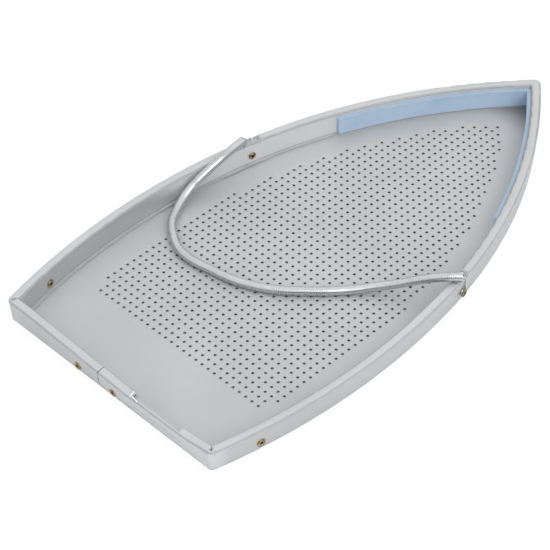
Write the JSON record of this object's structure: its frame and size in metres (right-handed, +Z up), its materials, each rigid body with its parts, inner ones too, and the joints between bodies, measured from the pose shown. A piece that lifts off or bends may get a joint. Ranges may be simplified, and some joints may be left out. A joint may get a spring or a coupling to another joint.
{
  "type": "iron shoe cover",
  "caption": "Boat-shaped perforated metal tray with a folded channel rim and a coil spring across it, which clips under a household iron's hot plate as a pressing shoe.",
  "frame": {"origin": "middle of the underside, where the cover stands on a table", "axes": "+Y towards the nose, +Z up out of the tray, +X to the right seen from above with the nose ahead"},
  "size_m": [0.1362, 0.2481, 0.0162],
  "materials": {
    "slip_sheet": "smooth",
    "plate": "satin",
    "rim": "satin",
    "liner": "satin",
    "spring": "bright wire",
    "rivet": "dull"
  },
  "bodies": {
    "root": {"sole_sheet": "slip_sheet", "base_plate": "plate", "rim": "rim", "nose_liner": "liner", "hold_spring": "spring", "rim_rivets": "rivet", "spring_rivets": "rivet"}
  },
  "joints": []
}
